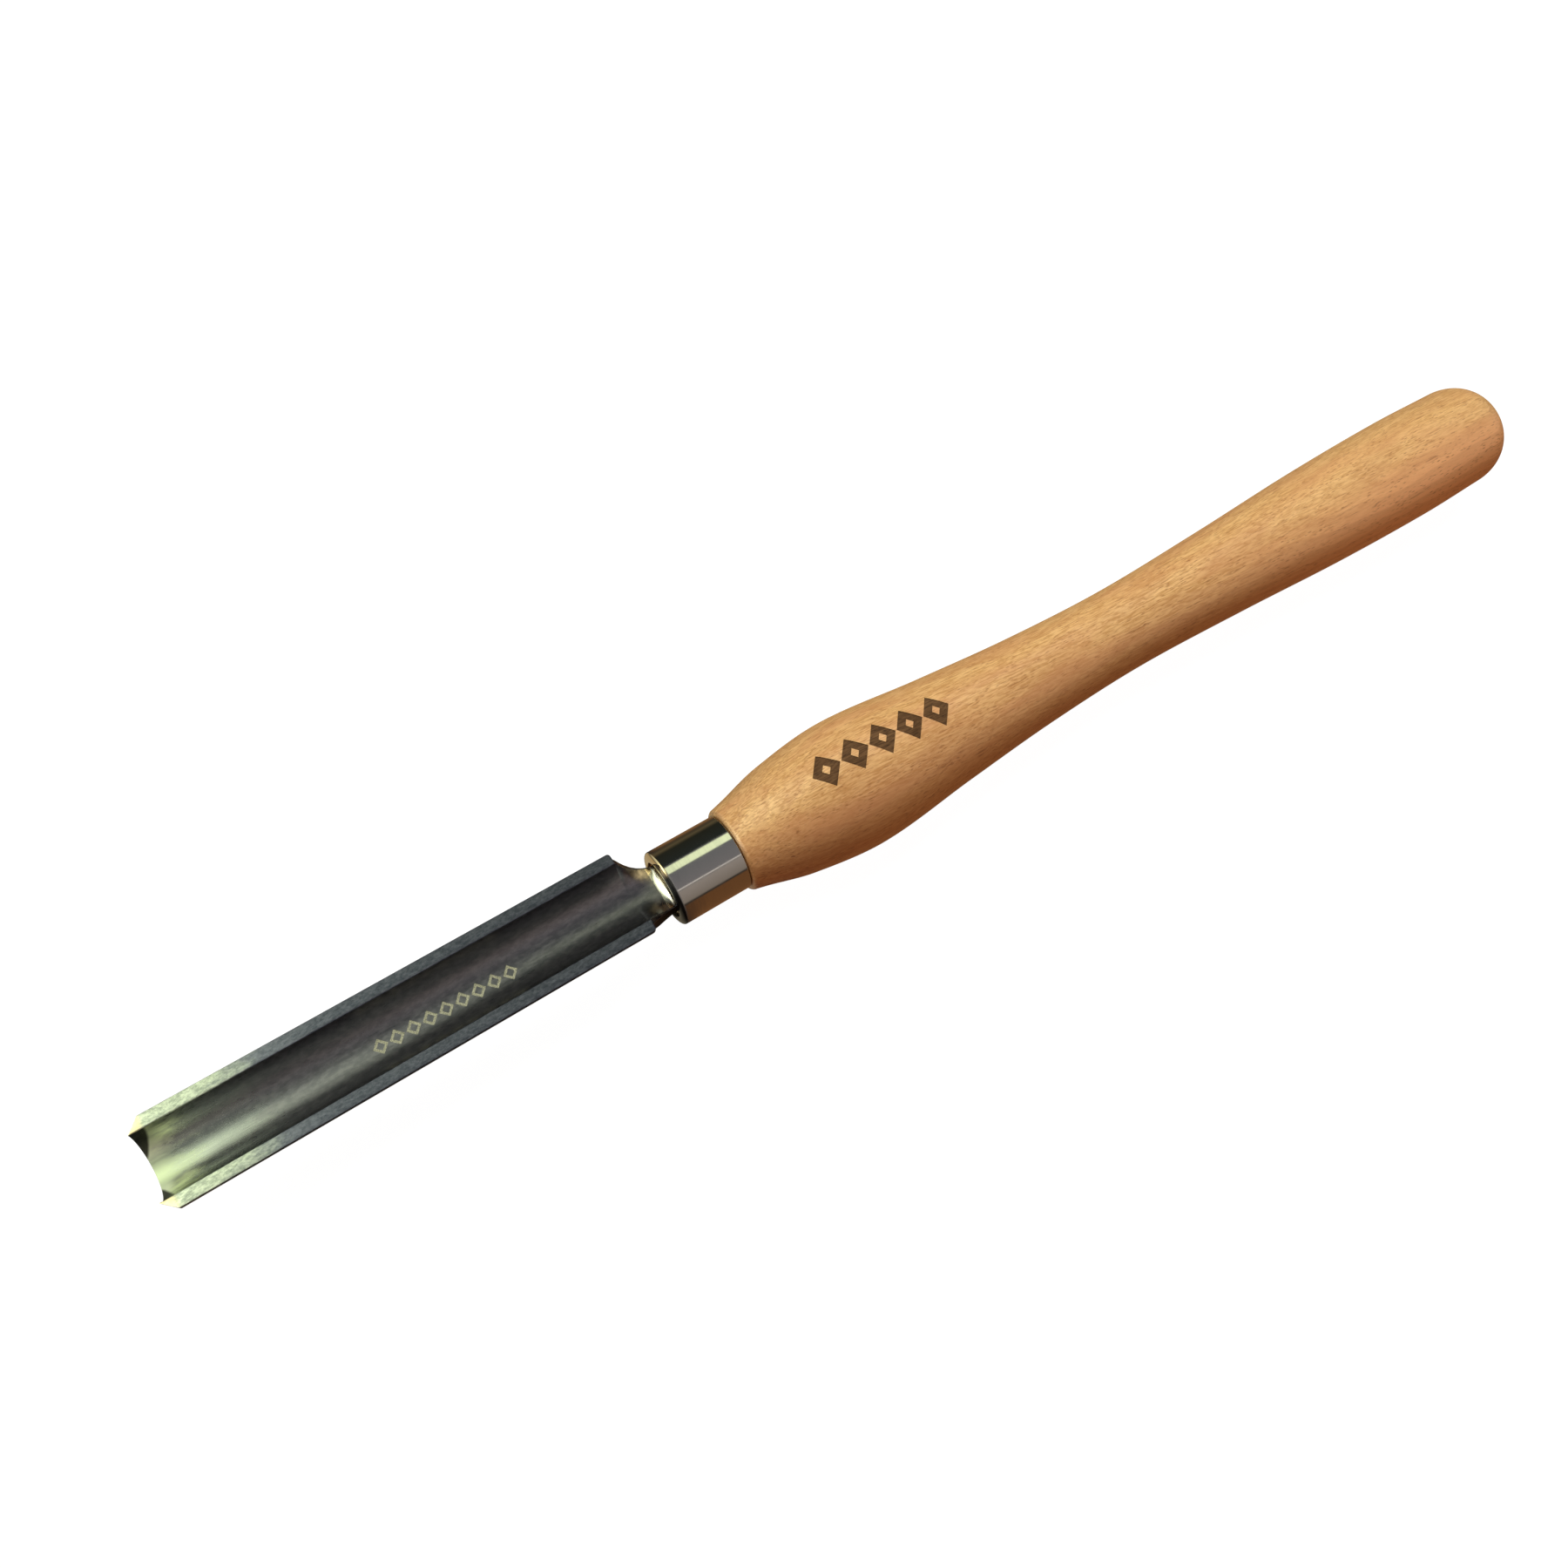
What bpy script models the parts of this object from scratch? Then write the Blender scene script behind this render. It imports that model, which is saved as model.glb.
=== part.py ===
"""Spindle roughing gouge: a woodturner's U-section gouge with a ferruled beech handle.

Every station is a distance behind the cutting edge, measured along the tool's axis, in metres.
The finished tool lies along X, cutting edge at -X, flute upwards, with its lowest point on z = 0.
"""
import math

import bmesh
import bpy
from mathutils import Vector

MM = 0.001
CLEARANCE = 0.3 * MM               # gap between touching pieces

# Overall layout, as stations behind the cutting edge
LENGTH = 476.0 * MM
SHOULDER_AT = 133.9 * MM           # where the walls of the U end
FERRULE_FACE_AT = 143.5 * MM
FERRULE_BACK_AT = 165.5 * MM

# Blade: a U-section bar, about one inch wide
BLADE_WIDTH = 25.4 * MM
WALL = 3.5 * MM
RIM_Z = 13.05 * MM                 # flat tops of the walls, above the tool's axis
FLUTE_FLOOR_Z = 4.15 * MM
BLADE_BOTTOM_Z = 0.75 * MM
EDGE_LAND = 0.05 * MM              # thickness left at the cutting edge
RIM_CORNER_R = 0.9 * MM            # in plan, at the shoulder

# Neck between the U and the ferrule: (behind the shoulder, half-width, side edges' z, underside's z)
NECK_KEYS = [(0.1 * MM, 10.9 * MM, 12.7 * MM, 0.7 * MM), (0.7 * MM, 10.35 * MM, 12.0 * MM, 0.5 * MM),
             (1.6 * MM, 9.75 * MM, 10.3 * MM, -0.3 * MM), (2.6 * MM, 9.15 * MM, 8.7 * MM, -2.1 * MM),
             (4.1 * MM, 8.4 * MM, 6.75 * MM, -3.8 * MM), (5.6 * MM, 7.8 * MM, 5.25 * MM, -4.6 * MM),
             (7.1 * MM, 7.35 * MM, 4.2 * MM, -5.0 * MM), (9.1 * MM, 6.9 * MM, 3.2 * MM, -5.0 * MM),
             (11.5 * MM, 6.7 * MM, 3.0 * MM, -5.0 * MM)]
NECK_DROP = 7.2 * MM               # length over which the side edges narrow
NECK_EDGE = 0.4 * MM               # width left on each side edge
NECK_SQUARE_BY = 1.8 * MM          # length over which the round underside turns square
RAMP_RADIUS = 2.4 * MM             # concave run-out at the end of the flute
RAMP_LENGTH = 2.1 * MM
NECK_END_AT = FERRULE_FACE_AT + 1.6 * MM

# Tang: a tapered rectangular spike, hidden in the handle
TANG_START_AT = FERRULE_FACE_AT + 1.1 * MM
TANG_END_AT = 222.0 * MM
TANG_FRONT = (11.2 * MM, 6.4 * MM)
TANG_BACK = (7.0 * MM, 4.4 * MM)
TANG_CORNER = 0.9 * MM

# Ferrule: a deep-drawn cup with a rounded front and a hole for the neck
FERRULE_R = 11.4 * MM
FERRULE_WALL = 1.25 * MM
FERRULE_HOLE_R = 8.5 * MM
FERRULE_NOSE = 1.2 * MM            # length of the rounded front corner
FERRULE_LIP = 1.6 * MM             # thickness of the turned-in front

# Handle: turned beech
SPIGOT_AT = FERRULE_FACE_AT + FERRULE_LIP + CLEARANCE
SPIGOT_R = FERRULE_R - FERRULE_WALL - CLEARANCE
BORE_R = 7.0 * MM
BORE_END_AT = 225.3 * MM
DRILL_POINT = 3.6 * MM
HANDLE_FRONT_AT = FERRULE_BACK_AT + CLEARANCE
BULGE_R = 19.9 * MM
WAIST_R = 13.5 * MM
TAIL_R = 17.9 * MM
TAIL_CORNER = (11.0 * MM, 6.8 * MM)  # along the axis, across it
TAIL_DOME = 1.0 * MM

# Bedding: cured adhesive between the round bore and the rectangular tang
BEDDING_START_AT = SPIGOT_AT + CLEARANCE
BEDDING_END_AT = BORE_END_AT - CLEARANCE

# Smoothness
TURN_STEPS = 48
ARC_POINTS = 21                    # points across the outside, and across the flute, of a section

ORIGIN = Vector((-LENGTH / 2, 0, BULGE_R))


def clear_scene():
    for obj in list(bpy.data.objects):
        bpy.data.objects.remove(obj, do_unlink=True)


def new_collection(name):
    collection = bpy.data.collections.new(name)
    bpy.context.scene.collection.children.link(collection)
    return collection


def new_material(name, color, roughness, metallic):
    material = bpy.data.materials.new(name)
    material.use_nodes = True
    shader = material.node_tree.nodes["Principled BSDF"]
    shader.inputs["Base Color"].default_value = (*color, 1.0)
    shader.inputs["Roughness"].default_value = roughness
    shader.inputs["Metallic"].default_value = metallic
    return material


def new_object(name, mesh, collection):
    obj = bpy.data.objects.new(name, mesh)
    collection.objects.link(obj)
    return obj


def mesh_from(bm, name):
    mesh = bpy.data.meshes.new(name)
    bm.to_mesh(mesh)
    bm.free()
    return mesh


def finish(obj, material, sharp_degrees=30):
    obj.data.materials.append(material)
    obj.data.shade_smooth()
    obj.data.set_sharp_from_angle(angle=math.radians(sharp_degrees))


def hide_cutter(obj):
    obj.hide_render = True
    obj.display_type = "WIRE"


def add_boolean(obj, tool, operation):
    boolean = obj.modifiers.new(operation.lower() + "_" + tool.name, "BOOLEAN")
    boolean.operation = operation
    boolean.object = tool
    boolean.solver = "EXACT"


def turned(name, profile, closed, collection, centre_z=0.0, steps=TURN_STEPS):
    """A body turned about the tool's axis from (radius, station) points, back to front outside."""
    verts = [(radius, 0, station) for radius, station in profile]
    edges = [(i, i + 1) for i in range(len(verts) - 1)]
    if closed:
        edges.append((len(verts) - 1, 0))
    mesh = bpy.data.meshes.new(name)
    mesh.from_pydata(verts, edges, [])
    obj = new_object(name, mesh, collection)
    obj.rotation_euler = (0, math.radians(90), 0)
    obj.location = ORIGIN + Vector((0, 0, centre_z))
    screw = obj.modifiers.new("turn", "SCREW")
    screw.axis = "Z"
    screw.angle = math.radians(360)
    screw.steps = steps
    screw.render_steps = steps
    screw.use_merge_vertices = True
    screw.merge_threshold = 0.00001
    screw.use_smooth_shade = True
    return obj


def bent(start, end, corner, count):
    """Quarter ellipse from start to end, bulging towards corner, without its first point."""
    points = []
    for i in range(1, count + 1):
        turn = math.radians(90) * i / count
        across = 1 - math.cos(turn)
        along = math.sin(turn)
        radius = start[0] + (corner[0] - start[0]) * along + (end[0] - corner[0]) * across
        station = start[1] + (corner[1] - start[1]) * along + (end[1] - corner[1]) * across
        points.append((radius, station))
    return points


def smooth_curve(keys, spacing):
    """Cubic curve through (station, radius) keys, sampled about every spacing."""
    slopes = []
    for i in range(len(keys)):
        before = keys[max(i - 1, 0)]
        after = keys[min(i + 1, len(keys) - 1)]
        slopes.append((after[1] - before[1]) / (after[0] - before[0]))
    points = [keys[0]]
    for i in range(len(keys) - 1):
        (s0, r0), (s1, r1) = keys[i], keys[i + 1]
        span = s1 - s0
        count = max(2, round(span / spacing))
        for k in range(1, count + 1):
            t = k / count
            radius = ((2 * t ** 3 - 3 * t ** 2 + 1) * r0 + (t ** 3 - 2 * t ** 2 + t) * span * slopes[i]
                      + (3 * t ** 2 - 2 * t ** 3) * r1 + (t ** 3 - t ** 2) * span * slopes[i + 1])
            points.append((s0 + t * span, radius))
    return points


def arc_radius(half_width, depth):
    return (half_width ** 2 + depth ** 2) / (2 * depth)


def arc_section(half_width, top, bottom):
    """Circular arc from (+half_width, top) under (0, bottom) to (-half_width, top)."""
    radius = arc_radius(half_width, top - bottom)
    centre = bottom + radius
    reach = math.atan2(half_width, centre - top)
    angles = [reach * (1 - 2 * i / (ARC_POINTS - 1)) for i in range(ARC_POINTS)]
    return [(radius * math.sin(a), centre - radius * math.cos(a)) for a in angles]


def box_section(half_width, top, bottom, squareness=5.0):
    """Rounded rectangle, open at the top, over the same points as arc_section."""
    points = []
    for i in range(ARC_POINTS):
        a = math.pi * i / (ARC_POINTS - 1)
        across = math.copysign(abs(math.cos(a)) ** (2 / squareness), math.cos(a))
        down = math.sin(a) ** (2 / squareness)
        points.append((half_width * across, top - (top - bottom) * down))
    return points


def mixed(first, second, share):
    return [(a[0] + (b[0] - a[0]) * share, a[1] + (b[1] - a[1]) * share) for a, b in zip(first, second)]


def eased(t):
    t = min(max(t, 0.0), 1.0)
    return t * t * (3 - 2 * t)


def flute_section(half_width, edge, middle):
    """Arc across the flute through its side edges and its middle, dished or, in the neck, domed."""
    if middle < edge:
        return arc_section(half_width, edge, middle)
    return [(y, -z) for y, z in arc_section(half_width, -edge, -middle)]


def blade_section(half_width, rim, top, floor, bottom, squareness_share):
    """Closed outline of the blade: round the outside, then back through the flute."""
    arc = arc_section(half_width, top, bottom)
    outside = mixed(arc, box_section(half_width, top, bottom), squareness_share)
    flute = flute_section(half_width - rim, top, floor)
    return outside + flute[::-1]


def between(keys, place):
    """Values at a place in a table of rows that start with their place."""
    for before, after in zip(keys, keys[1:]):
        if place <= after[0]:
            share = (place - before[0]) / (after[0] - before[0])
            return [a + (b - a) * share for a, b in zip(before[1:], after[1:])]
    return list(keys[-1][1:])


def neck_section(station):
    """Section behind the shoulder: the walls sink, the sides draw in and the flute runs out."""
    behind = station - SHOULDER_AT
    half_width, edge, bottom = between(NECK_KEYS, behind)
    at_shoulder = NECK_KEYS[0][1] - (BLADE_WIDTH / 2 - WALL)
    rim = NECK_EDGE + (at_shoulder - NECK_EDGE) * (1 - eased(behind / NECK_DROP))
    run_out = min(max(station - (FERRULE_FACE_AT - RAMP_LENGTH), 0.0), RAMP_LENGTH)
    floor = FLUTE_FLOOR_Z + RAMP_RADIUS - math.sqrt(RAMP_RADIUS ** 2 - run_out ** 2)
    return blade_section(half_width, rim, edge, floor, bottom, eased(behind / NECK_SQUARE_BY))


def u_outline(inset):
    """The U's outline with its walls thinned from outside at the rim by an amount."""
    return blade_section(BLADE_WIDTH / 2 - inset, WALL - inset, RIM_Z, FLUTE_FLOOR_Z, BLADE_BOTTOM_Z, 0.0)


def blade_stations():
    """(station, section outline) from the cutting edge to the end of the neck."""
    rows = [(0.0, u_outline(0.0)), (SHOULDER_AT - RIM_CORNER_R, u_outline(0.0))]
    for k in range(1, 5):
        turn = math.radians(90) * k / 4
        station = SHOULDER_AT - RIM_CORNER_R * (1 - math.sin(turn))
        rows.append((station, u_outline(RIM_CORNER_R * (1 - math.cos(turn)))))
    ramp_start = FERRULE_FACE_AT - RAMP_LENGTH
    stations = [SHOULDER_AT + key[0] for key in NECK_KEYS]
    rows += [(station, neck_section(station)) for station in stations if station < ramp_start]
    for k in range(5):
        station = ramp_start + RAMP_LENGTH * k / 4
        rows.append((station, neck_section(station)))
    rows.append((NECK_END_AT, neck_section(NECK_END_AT)))
    return rows


def loft(rows, name):
    bm = bmesh.new()
    rings = []
    for station, outline in rows:
        rings.append([bm.verts.new((station, y, z)) for y, z in outline])
    count = len(rings[0])
    for near, far in zip(rings, rings[1:]):
        for i in range(count):
            j = (i + 1) % count
            bm.faces.new((near[i], near[j], far[j], far[i]))
    bm.faces.new(rings[0][::-1])
    bm.faces.new(rings[-1])
    bmesh.ops.recalc_face_normals(bm, faces=bm.faces)
    return mesh_from(bm, name)


def tang_block(name, grow, collection):
    """Tapered rectangular tang, grown all round by an amount."""
    bm = bmesh.new()
    bmesh.ops.create_cube(bm, size=2.0)
    for vert in bm.verts:
        at_front = vert.co.x < 0
        width, height = TANG_FRONT if at_front else TANG_BACK
        vert.co.x = TANG_START_AT - grow if at_front else TANG_END_AT + grow
        vert.co.y *= width / 2 + grow
        vert.co.z *= height / 2 + grow
    obj = new_object(name, mesh_from(bm, name), collection)
    obj.location = ORIGIN
    bevel = obj.modifiers.new("corners", "BEVEL")
    bevel.width = TANG_CORNER + grow
    bevel.segments = 2
    bevel.limit_method = "ANGLE"
    hide_cutter(obj)
    return obj


def edge_grind(collection):
    """Ring that grinds the outside of the U to a 45-degree cone, leaving the cutting edge."""
    inner_r = arc_radius(BLADE_WIDTH / 2 - WALL, RIM_Z - FLUTE_FLOOR_Z)
    axis_z = FLUTE_FLOOR_Z + inner_r
    edge_r = inner_r + EDGE_LAND
    outside = 8.0 * MM
    before = 1.0 * MM
    profile = [(edge_r + outside, outside), (edge_r + outside, -before), (edge_r - before, -before)]
    return turned("edge_grind", profile, True, collection, centre_z=axis_z, steps=96)


def make_blade(parts, cutters):
    mesh = loft(blade_stations(), "gouge_blade")
    blade = new_object("gouge_blade", mesh, parts)
    blade.location = ORIGIN
    grind = edge_grind(cutters)
    hide_cutter(grind)
    add_boolean(blade, grind, "DIFFERENCE")
    add_boolean(blade, tang_block("tang", 0.0, cutters), "UNION")
    finish(blade, new_material("hardened_steel", (0.055, 0.06, 0.065), 0.42, 0.9))


def make_ferrule(parts):
    back, face = FERRULE_BACK_AT, FERRULE_FACE_AT
    edge = 0.25 * MM
    bore_r = FERRULE_R - FERRULE_WALL
    hole_edge = 0.5 * MM
    profile = [(bore_r, back), (FERRULE_R - edge, back)]
    profile += bent(profile[-1], (FERRULE_R, back - edge), (FERRULE_R, back), 2)
    profile.append((FERRULE_R, face + FERRULE_NOSE))
    profile += bent(profile[-1], (FERRULE_HOLE_R + hole_edge, face), (FERRULE_R, face), 8)
    profile += bent(profile[-1], (FERRULE_HOLE_R, face + hole_edge), (FERRULE_HOLE_R, face), 3)
    profile.append((FERRULE_HOLE_R, face + FERRULE_LIP))
    profile.append((bore_r, face + FERRULE_LIP))
    ferrule = turned("ferrule", profile, True, parts)
    finish(ferrule, new_material("plated_steel", (0.72, 0.72, 0.70), 0.12, 1.0))


def handle_outline():
    """(radius, station) down the outside of the handle, from the tail's centre to the spigot."""
    keys = [(HANDLE_FRONT_AT + 1.4 * MM, 12.9 * MM), (170.5 * MM, 13.7 * MM), (184.5 * MM, 17.35 * MM),
            (207.5 * MM, BULGE_R), (241.0 * MM, 17.1 * MM), (274.0 * MM, 14.65 * MM),
            (311.0 * MM, WAIST_R), (354.0 * MM, 14.9 * MM), (398.0 * MM, 17.05 * MM),
            (438.0 * MM, TAIL_R), (LENGTH - TAIL_CORNER[0], 17.4 * MM)]
    side = [(radius, station) for station, radius in smooth_curve(keys, 8.0 * MM)]
    corner_end = (side[-1][0] - TAIL_CORNER[1], LENGTH - TAIL_DOME)
    tail = bent(side[-1], corner_end, (side[-1][0], LENGTH - TAIL_DOME), 7)
    dome = [(tail[-1][0] * (1 - k / 3), LENGTH - TAIL_DOME * (1 - k / 3) ** 2) for k in range(1, 4)]
    front = (11.8 * MM, HANDLE_FRONT_AT)
    shoulder = bent(front, side[0], (side[0][0], HANDLE_FRONT_AT + 0.3 * MM), 3)
    return dome[::-1] + tail[::-1] + side[::-1][1:-1] + shoulder[::-1] + [front]


def make_handle(parts):
    chamfer = 0.4 * MM
    profile = handle_outline()
    profile.append((SPIGOT_R, HANDLE_FRONT_AT))
    profile.append((SPIGOT_R, SPIGOT_AT + chamfer))
    profile.append((SPIGOT_R - chamfer, SPIGOT_AT))
    profile.append((BORE_R, SPIGOT_AT))
    profile.append((BORE_R, BORE_END_AT))
    profile.append((0.0, BORE_END_AT + DRILL_POINT))
    handle = turned("handle", profile, False, parts)
    finish(handle, new_material("oiled_beech", (0.62, 0.37, 0.17), 0.4, 0.0))


def make_bedding(parts, cutters):
    radius = BORE_R - CLEARANCE
    profile = [(0.0, BEDDING_END_AT), (radius, BEDDING_END_AT)]
    profile += [(radius, BEDDING_START_AT), (0.0, BEDDING_START_AT)]
    bedding = turned("tang_bedding", profile, False, parts, steps=32)
    add_boolean(bedding, tang_block("tang_space", CLEARANCE, cutters), "DIFFERENCE")
    finish(bedding, new_material("cured_epoxy", (0.70, 0.58, 0.34), 0.35, 0.0))


def main():
    clear_scene()
    parts = new_collection("roughing_gouge")
    cutters = new_collection("cutters")
    make_blade(parts, cutters)
    make_ferrule(parts)
    make_handle(parts)
    make_bedding(parts, cutters)


main()
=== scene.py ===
"""Looks of the spindle roughing gouge: fine meshes, procedural materials, studio and camera.

Lengths are in metres. A piece's own coordinates are (station, y, z): the distance behind the cutting
edge, then across and above the tool's axis, so its materials are laid out along the tool.
"""
import math

import bmesh
import bpy
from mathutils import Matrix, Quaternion, Vector


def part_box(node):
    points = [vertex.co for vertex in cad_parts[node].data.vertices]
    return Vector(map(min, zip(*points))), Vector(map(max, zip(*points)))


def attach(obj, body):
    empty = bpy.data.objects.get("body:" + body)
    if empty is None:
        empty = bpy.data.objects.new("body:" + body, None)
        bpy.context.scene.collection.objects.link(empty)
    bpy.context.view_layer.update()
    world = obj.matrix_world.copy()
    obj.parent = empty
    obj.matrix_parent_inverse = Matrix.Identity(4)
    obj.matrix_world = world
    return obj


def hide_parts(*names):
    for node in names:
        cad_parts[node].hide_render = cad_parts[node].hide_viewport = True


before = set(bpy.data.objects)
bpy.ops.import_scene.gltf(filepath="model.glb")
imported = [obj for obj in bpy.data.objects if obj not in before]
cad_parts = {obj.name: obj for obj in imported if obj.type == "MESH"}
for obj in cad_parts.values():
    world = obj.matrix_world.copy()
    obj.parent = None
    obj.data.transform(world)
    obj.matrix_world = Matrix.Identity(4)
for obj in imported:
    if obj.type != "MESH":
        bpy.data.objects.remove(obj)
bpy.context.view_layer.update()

MM = 0.001

# Sizes read from the frame
BLADE_LOW, BLADE_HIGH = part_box("gouge_blade")
FERRULE_LOW, FERRULE_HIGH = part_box("ferrule")
HANDLE_LOW, HANDLE_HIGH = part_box("handle")
TIP_X = BLADE_LOW.x
AXIS_Z = (HANDLE_LOW.z + HANDLE_HIGH.z) / 2
ORIGIN = Vector((TIP_X, 0, AXIS_Z))
LENGTH = HANDLE_HIGH.x - TIP_X
BLADE_WIDTH = BLADE_HIGH.y - BLADE_LOW.y
RIM_Z = BLADE_HIGH.z - AXIS_Z
TANG_END_AT = BLADE_HIGH.x - TIP_X
FERRULE_FACE_AT = FERRULE_LOW.x - TIP_X
FERRULE_BACK_AT = FERRULE_HIGH.x - TIP_X
FERRULE_R = (FERRULE_HIGH.z - FERRULE_LOW.z) / 2
SPIGOT_AT = HANDLE_LOW.x - TIP_X
BULGE_R = (HANDLE_HIGH.z - HANDLE_LOW.z) / 2

# Blade: the same U section, neck and tang as the CAD part
SHOULDER_AT = 133.9 * MM
WALL = 3.5 * MM
FLUTE_FLOOR_Z = 4.15 * MM
BLADE_BOTTOM_Z = 0.75 * MM
EDGE_LAND = 0.05 * MM
RIM_CORNER_R = 0.9 * MM
RIM_EDGE_ROUND = 0.3 * MM
NECK_KEYS = [(0.1 * MM, 10.9 * MM, 12.7 * MM, 0.7 * MM), (0.7 * MM, 10.35 * MM, 12.0 * MM, 0.5 * MM),
             (1.6 * MM, 9.75 * MM, 10.3 * MM, -0.3 * MM), (2.6 * MM, 9.15 * MM, 8.7 * MM, -2.1 * MM),
             (4.1 * MM, 8.4 * MM, 6.75 * MM, -3.8 * MM), (5.6 * MM, 7.8 * MM, 5.25 * MM, -4.6 * MM),
             (7.1 * MM, 7.35 * MM, 4.2 * MM, -5.0 * MM), (9.1 * MM, 6.9 * MM, 3.2 * MM, -5.0 * MM),
             (11.5 * MM, 6.7 * MM, 3.0 * MM, -5.0 * MM)]
NECK_DROP = 7.2 * MM
NECK_EDGE = 0.4 * MM
NECK_SQUARE_BY = 1.8 * MM
RAMP_RADIUS = 2.4 * MM
RAMP_LENGTH = 2.1 * MM
NECK_END_AT = FERRULE_FACE_AT + 1.6 * MM
TANG_FRONT = (5.6 * MM, 3.2 * MM)
TANG_BACK = (3.5 * MM, 2.2 * MM)
ARC_POINTS = 61
ROUND_POINTS = 4                   # along each rounded corner of the rims
BEVEL_ROWS = 8
STRAIGHT_FROM = 5.0 * MM
STRAIGHT_ROWS = 80
CORNER_ROWS = 8
NECK_ROWS = 27
RAMP_ROWS = 14

# Ferrule
FERRULE_WALL = 1.25 * MM
FERRULE_HOLE_R = 8.5 * MM
FERRULE_NOSE = 1.2 * MM
FERRULE_LIP = 1.6 * MM
FERRULE_STEPS = 192

# Handle
SPIGOT_R = FERRULE_R - FERRULE_WALL - 0.3 * MM
BORE_R = 7.0 * MM
BORE_END_AT = 225.3 * MM
DRILL_POINT = 3.6 * MM
HANDLE_FRONT_AT = FERRULE_BACK_AT + 0.3 * MM
WAIST_R = 13.5 * MM
TAIL_R = 17.9 * MM
TAIL_CORNER = (11.0 * MM, 6.8 * MM)
TAIL_DOME = 1.0 * MM
HANDLE_STEPS = 192
HANDLE_SPACING = 1.6 * MM

# Burnt lozenges on the handle, and etched ones in the flute
BURNT = {"count": 5, "first": 196.6 * MM, "pitch": 9.6 * MM, "centre": 2.5, "width": 9.2 * MM,
         "height": 11.0 * MM, "hole": 0.3, "depth": 0.22 * MM}
ETCHED = {"count": 9, "first": 59.2 * MM, "pitch": 4.65 * MM, "centre": 0.0, "width": 4.2 * MM,
          "height": 4.6 * MM, "hole": 0.55, "depth": 0.05 * MM}


# ---------------------------------------------------------------- meshes

def new_piece(name, mesh, node, sharp_degrees=35):
    """A finished piece in the row frame that stands for a CAD node."""
    piece = bpy.data.objects.new(name, mesh)
    bpy.context.scene.collection.objects.link(piece)
    piece.location = ORIGIN
    mesh.shade_smooth()
    mesh.set_sharp_from_angle(angle=math.radians(sharp_degrees))
    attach(piece, "root")
    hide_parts(node)
    return piece


def mesh_from(bm, name, materials):
    bmesh.ops.recalc_face_normals(bm, faces=bm.faces)
    mesh = bpy.data.meshes.new(name)
    for material in materials:
        mesh.materials.append(material)
    bm.to_mesh(mesh)
    bm.free()
    return mesh


def carved(mesh, cutter):
    """The mesh with the cutter's closed shapes taken out; both have the same list of materials."""
    objects = []
    for data in (mesh, cutter):
        objects.append(bpy.data.objects.new(data.name, data))
        bpy.context.scene.collection.objects.link(objects[-1])
    boolean = objects[0].modifiers.new("carve", "BOOLEAN")
    boolean.operation = "DIFFERENCE"
    boolean.solver = "EXACT"
    boolean.object = objects[1]
    bpy.context.view_layer.update()
    evaluated = objects[0].evaluated_get(bpy.context.evaluated_depsgraph_get())
    result = bpy.data.meshes.new_from_object(evaluated)
    for obj in objects:
        bpy.data.objects.remove(obj)
    return result


def skin(bm, near, far):
    """Faces between two rings of vertices; a ring may be one vertex repeated."""
    faces = []
    for i in range(len(near)):
        j = (i + 1) % len(near)
        corners = list(dict.fromkeys((near[i], near[j], far[j], far[i])))
        faces.append(bm.faces.new(corners))
    return faces


def turned(name, profile, steps, closed, materials):
    """A body turned about the tool's axis from (radius, station) points."""
    bm = bmesh.new()
    rings = []
    for radius, station in profile:
        if radius == 0:
            rings.append([bm.verts.new((station, 0, 0))] * steps)
            continue
        turns = [2 * math.pi * i / steps for i in range(steps)]
        rings.append([bm.verts.new((station, radius * math.sin(a), radius * math.cos(a))) for a in turns])
    for near, far in zip(rings, rings[1:]):
        skin(bm, near, far)
    if closed:
        skin(bm, rings[-1], rings[0])
    return mesh_from(bm, name, materials)


def bent(start, end, corner, count):
    """Quarter ellipse from start to end, bulging towards corner, without its first point."""
    points = []
    for i in range(1, count + 1):
        turn = math.radians(90) * i / count
        across = 1 - math.cos(turn)
        along = math.sin(turn)
        radius = start[0] + (corner[0] - start[0]) * along + (end[0] - corner[0]) * across
        station = start[1] + (corner[1] - start[1]) * along + (end[1] - corner[1]) * across
        points.append((radius, station))
    return points


def smooth_curve(keys, spacing):
    """Cubic curve through (station, radius) keys, sampled about every spacing."""
    slopes = []
    for i in range(len(keys)):
        before = keys[max(i - 1, 0)]
        after = keys[min(i + 1, len(keys) - 1)]
        slopes.append((after[1] - before[1]) / (after[0] - before[0]))
    points = [keys[0]]
    for i in range(len(keys) - 1):
        (s0, r0), (s1, r1) = keys[i], keys[i + 1]
        span = s1 - s0
        count = max(2, round(span / spacing))
        for k in range(1, count + 1):
            t = k / count
            radius = ((2 * t ** 3 - 3 * t ** 2 + 1) * r0 + (t ** 3 - 2 * t ** 2 + t) * span * slopes[i]
                      + (3 * t ** 2 - 2 * t ** 3) * r1 + (t ** 3 - t ** 2) * span * slopes[i + 1])
            points.append((s0 + t * span, radius))
    return points


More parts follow.
